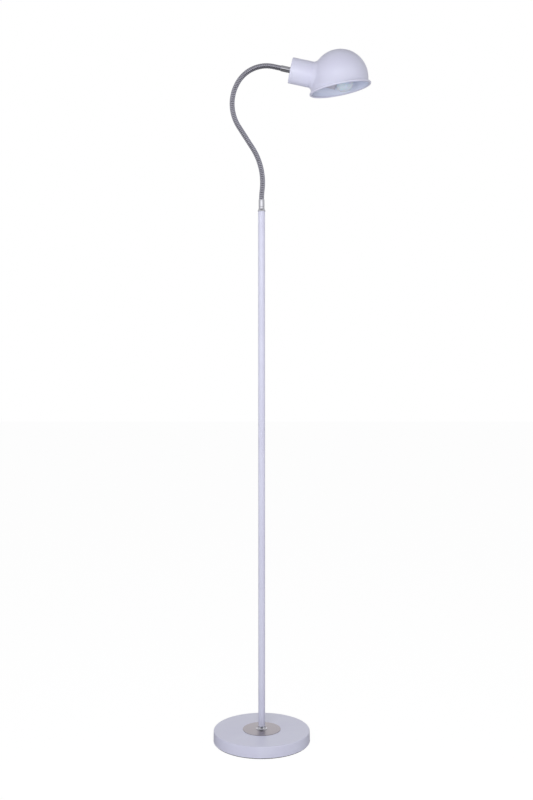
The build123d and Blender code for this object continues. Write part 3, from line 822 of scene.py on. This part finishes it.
def make_shade_skin():
    """The shade's outer and inner sheet, joined at the stub's end by a fine bevel. The attribute
    inside goes from 0 to 1 over the middle half of the sheet's thickness, and marks where the coat
    is painted lighter, as painted light in the shade's hollow."""
    outer = shade_sheet(0.0, CUP_L + SEAM_BEVEL)
    inner = shade_sheet(SHADE_WALL, CUP_L)
    lip = inner[:1] + (outer[:1] - inner[:1]) * 0.45
    lip = lip - ((lip - CUP_PLACE[0]) @ ALONG - CUP_L)[..., None] * ALONG
    skin = np.concatenate([lip, outer, inner[::-1]])
    faces = grid_faces(len(skin), SHADE_SIDES, close_rows=True)
    piece = add_mesh("shade_skin", skin.reshape(-1, 3), faces, sharp_deg=50.0)
    # Marks the inner side, where the coat is painted lighter as painted light.
    mark(piece, "inside", -shade_distance(points_of(piece)) / SHADE_WALL * 2 - 0.5)
    return piece


def make_shade_bead():
    """The rolled bead round the shade's rim."""
    a = np.arange(SHADE_SIDES) * 2 * pi / SHADE_SIDES
    b = np.arange(BEAD_SECTION) * 2 * pi / BEAD_SECTION
    ring = BEAD_CIRCLE_R + BEAD_R * np.cos(b)[:, None]
    flat = ring[..., None] * (np.cos(a)[:, None] * RIM_X + np.sin(a)[:, None] * SIDE)
    bead = RIM_CENTRE + flat + (BEAD_R * np.sin(b))[:, None, None] * RIM_UP
    faces = grid_faces(BEAD_SECTION, SHADE_SIDES, close_rows=True)
    return add_mesh("shade_bead", bead.reshape(-1, 3), faces, sharp_deg=60.0)


def make_shade():
    """Shade: its sheet and its bead."""
    skin = make_shade_skin()
    bead = make_shade_bead()
    stand_for(skin, "shade")
    stand_for(bead, "shade")


def make_holder():
    """Lampholder skirt, with a rounded mouth."""
    inner = HOLDER_R - HOLDER_WALL
    step = inner - HOLDER_SHOULDER
    lip_r = SHELL_R + SHELL_FIT
    lip = INSERT_TOP + SHELL_L + 1
    outline = rounded([(inner, HOLDER_CAP_END, 0), (HOLDER_R, HOLDER_CAP_END, 0.3),
                       (HOLDER_R, HOLDER_MOUTH, MOUTH_EDGE), (inner, HOLDER_MOUTH, 0.3),
                       (inner, lip + LIP_L, 0), (lip_r, lip + LIP_L, 0.4), (lip_r, lip, 0),
                       (step, lip - 2, 0), (step, INSERT_TOP, 0), (inner, INSERT_TOP, 0)], 12.0)
    stand_for(turned("holder_tube", outline, CUP_PLACE, sides=96), "holder_skirt")


def globe_outline(inset):
    """Right half of the bulb's glass, from its crown down to the foot of its neck."""
    centre = BULB_TIP + BULB_L - BULB_R
    radius = BULB_R - inset
    crown = arc((0, centre), radius, 90, GLASS_MEET_DEG - 90, 30)
    foot = BULB_CAP_HIGH - GLASS_IN_CAP - inset
    join = crown[-1]
    neck_r = GLASS_NECK_R - inset
    t = np.linspace(0, 1, 13)[1:, None]
    knots = np.array([join, join - [2.2, 2.6], [neck_r, BULB_CAP_HIGH + GLASS_NECK_L],
                      [neck_r, BULB_CAP_HIGH]])
    flare = ((1 - t) ** 3 * knots[0] + 3 * t * (1 - t) ** 2 * knots[1]
             + 3 * t ** 2 * (1 - t) * knots[2] + t ** 3 * knots[3])
    return np.vstack([crown, flare, [[neck_r, foot], [0, foot]]])


def make_globe():
    """Bulb glass as a closed shell: an outer and an inner skin."""
    outer = turned("bulb_glass", globe_outline(0.0), CUP_PLACE, sides=80, sharp_deg=60.0)
    inner = turned("bulb_glass_inside", globe_outline(GLASS_T), CUP_PLACE, sides=80, sharp_deg=60.0)
    joined = bmesh.new()
    joined.from_mesh(inner.data)
    bmesh.ops.reverse_faces(joined, faces=joined.faces)
    joined.from_mesh(outer.data)
    joined.to_mesh(outer.data)
    joined.free()
    bpy.data.objects.remove(inner)
    stand_for(outer, "bulb_globe")


# ---------------------------------------------------------------- floor and light

WHITE = (1, 1, 1, 1)
FLOOR_HALF = 9000.0
FLOOR_SHADOW = 0.10         # how much of the floor's own shading shows under its white
FLOOR_WHITE = 1.04          # strength of that white for the camera
FLOOR_MIRRORED = 0.16       # and in a reflection, because paper in front is hardly lit
WORLD_LIGHT = 0.48
KEY_LIGHT = 19.5            # watts
TOP_LIGHT = 0.4
SIDE_LIGHT = 2.2

CARD_SIDE = 1500.0          # the side cards stand this far from the pole
CARD_NEAR = -700.0
CARD_BACK = 2400.0
CARD_TOP = 3100.0
CARD_FRONT = -1750.0
STRIP_LOW = 1200.0
STRIP_HIGH = 1700.0
STRIP_X = (-900.0, 500.0)


def white_ray(tree):
    """1 for camera, glossy and transmission rays, else 0."""
    path = add(tree, "ShaderNodeLightPath")
    seen = path.outputs["Is Camera Ray"]
    for kind in ("Is Glossy Ray", "Is Transmission Ray"):
        seen = add(tree, "ShaderNodeMath", {0: seen, 1: path.outputs[kind]},
                   operation="MAXIMUM").outputs[0]
    return seen


def make_floor():
    """Plain white floor. For the camera most of it is white light, so it merges with the
    background, and the rest keeps the lamp's soft shadow. In a reflection it is grey."""
    half = FLOOR_HALF
    corners = [(-half, -half, 0), (half, -half, 0), (half, half, 0), (-half, half, 0)]
    floor = add_mesh("floor", corners, [(0, 1, 2, 3)], outward=False)
    material, tree, shader = new_material("seamless_paper", Roughness=0.95, Specular_IOR_Level=0.0)
    shader.inputs["Base Color"].default_value = colour("#fafafc")
    glossy = add(tree, "ShaderNodeLightPath").outputs["Is Glossy Ray"]
    strength = add(tree, "ShaderNodeMapRange",
                   {"Value": glossy, "To Min": FLOOR_WHITE, "To Max": FLOOR_MIRRORED})
    white = add(tree, "ShaderNodeEmission", {"Color": WHITE, "Strength": strength.outputs[0]})
    share = add(tree, "ShaderNodeMath", {0: white_ray(tree), 1: 1 - FLOOR_SHADOW},
                operation="MULTIPLY")
    mixed = add(tree, "ShaderNodeMixShader",
                {0: share.outputs[0], 1: shader.outputs[0], 2: white.outputs[0]})
    tree.links.new(mixed.outputs[0], tree.nodes["Material Output"].inputs["Surface"])
    floor.data.materials.append(material)


def make_world():
    """White where the camera or a reflection looks, and a softer white as light."""
    world = bpy.data.worlds.new("studio")
    bpy.context.scene.world = world
    world.use_nodes = True
    tree = world.node_tree
    ground = tree.nodes["Background"]
    ground.inputs["Color"].default_value = WHITE
    strength = add(tree, "ShaderNodeMapRange",
                   {"Value": white_ray(tree), "To Min": WORLD_LIGHT, "To Max": 1.0})
    tree.links.new(strength.outputs[0], ground.inputs["Strength"])


def side_card(x):
    """Corners of an upright card at one side of the lamp."""
    return [(x, CARD_NEAR, 0), (x, CARD_BACK, 0), (x, CARD_BACK, CARD_TOP),
            (x, CARD_NEAR, CARD_TOP)]


def front_card(left, right, low, high):
    """Corners of an upright card between the camera and the lamp."""
    return [(left, CARD_FRONT, low), (right, CARD_FRONT, low), (right, CARD_FRONT, high),
            (left, CARD_FRONT, high)]


def make_cards():
    """Cards round the set, as a studio has for chrome: they show only in reflections, where they
    give metal its dark edges and its highlight. Grey ones stand at the sides, hang overhead and
    hang high in front, a nearly black one stands low in front, and a bright strip hangs between
    those two."""
    side = CARD_SIDE
    overhead = [(-side, CARD_FRONT, CARD_TOP), (side, CARD_FRONT, CARD_TOP),
                (side, CARD_BACK, CARD_TOP), (-side, CARD_BACK, CARD_TOP)]
    cards = [
        ("card_left", 0.60, side_card(-side)),
        ("card_right", 0.60, side_card(side)),
        ("card_top", 0.42, overhead),
        ("card_front_high", 0.50, front_card(-side, side, STRIP_HIGH, CARD_TOP)),
        ("card_front_low", 0.08, front_card(-side, side, 0, STRIP_LOW)),
        ("strip", 1.5, front_card(*STRIP_X, STRIP_LOW, STRIP_HIGH)),
    ]
    for name, brightness, corners in cards:
        card = add_mesh(name, corners, [(0, 1, 2, 3)], outward=False)
        material, tree, shader = new_material(name)
        tree.nodes.remove(shader)
        glow = add(tree, "ShaderNodeEmission", {"Color": WHITE, "Strength": brightness})
        tree.links.new(glow.outputs[0], tree.nodes["Material Output"].inputs["Surface"])
        card.data.materials.append(material)
        card.visible_camera = False
        card.visible_diffuse = False
        card.visible_transmission = False
        card.visible_shadow = False


def make_lamp(name, place, aim, size, power):
    """Square soft light, aimed at a point. It shows in no reflection: the cards do that."""
    light = bpy.data.lights.new(name, "AREA")
    light.size = size
    light.energy = power
    held = bpy.data.objects.new(name, light)
    held.location = place
    away = np.array(place) - np.array(aim)
    held.rotation_euler = (atan2(hypot(away[0], away[1]), away[2]), 0, atan2(away[0], -away[1]))
    held.visible_camera = False
    held.visible_glossy = False
    bpy.context.scene.collection.objects.link(held)


make_base()
make_collar()
make_grommet()
make_pole()
make_ferrules()
make_hose()
make_cup()
make_shade()
make_holder()
make_globe()
make_floor()
make_world()
make_cards()
make_lamp("key", (-0.2, -1.7, 1.26), (0.05, 0, 1.2), 1.1, KEY_LIGHT)
make_lamp("top", (0.1, -0.2, 2.5), (0.1, 0, 1.5), 1.2, TOP_LIGHT)
make_lamp("side", (1.5, 0.5, 1.6), (0.1, 0, 1.5), 1.0, SIDE_LIGHT)

bpy.context.scene.view_settings.view_transform = "Standard"
